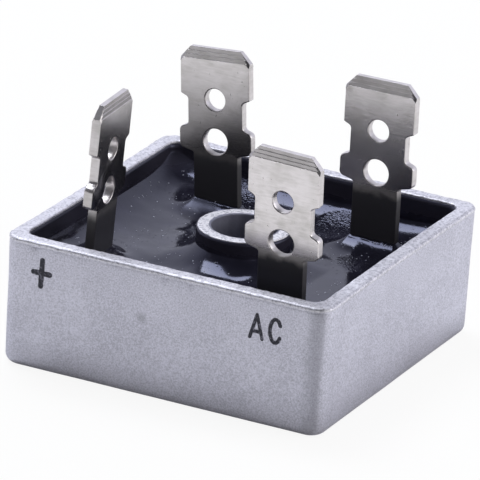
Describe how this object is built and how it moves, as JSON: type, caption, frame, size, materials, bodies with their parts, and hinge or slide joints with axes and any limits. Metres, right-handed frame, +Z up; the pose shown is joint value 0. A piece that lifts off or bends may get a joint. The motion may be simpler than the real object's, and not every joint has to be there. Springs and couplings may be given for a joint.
{
  "type": "bridge rectifier",
  "caption": "Square aluminium-cased bridge rectifier filled with black potting, with a central mounting post and upright quick-connect blade tabs; the plus tab is turned a quarter turn.",
  "frame": {"origin": "centre of the mounting bore in the case's base face", "axes": "+X to the right along the front wall with the function marks, +Y from that wall to the back, +Z up along the mounting bore, towards the tabs"},
  "size_m": [0.0286, 0.0286, 0.022],
  "materials": {
    "case": "matte bead-blasted",
    "potting": "glossy black epoxy",
    "tab": "satin tin plating",
    "ceramic": "matte fired alumina",
    "copper": "bare copper",
    "silicon": "polished silicon",
    "solder": "dull solder"
  },
  "bodies": {
    "root": {"case": "case", "potting": "potting", "tab_plus": "tab", "tab_minus": "tab", "tab_ac_1": "tab", "tab_ac_2": "tab", "insulator_plate": "ceramic", "plus_bus_plate": "copper", "minus_bus_plate": "copper", "ac_link_1": "copper", "ac_link_2": "copper", "die_front": "silicon", "die_left": "silicon", "die_right": "silicon", "die_back": "silicon", "solder_under_front": "solder", "solder_under_left": "solder", "solder_under_right": "solder", "solder_under_back": "solder", "solder_over_front": "solder", "solder_over_left": "solder", "solder_over_right": "solder", "solder_over_back": "solder", "solder_tab_plus": "solder", "solder_tab_minus": "solder", "solder_tab_ac_1": "solder", "solder_tab_ac_2": "solder"}
  },
  "joints": []
}
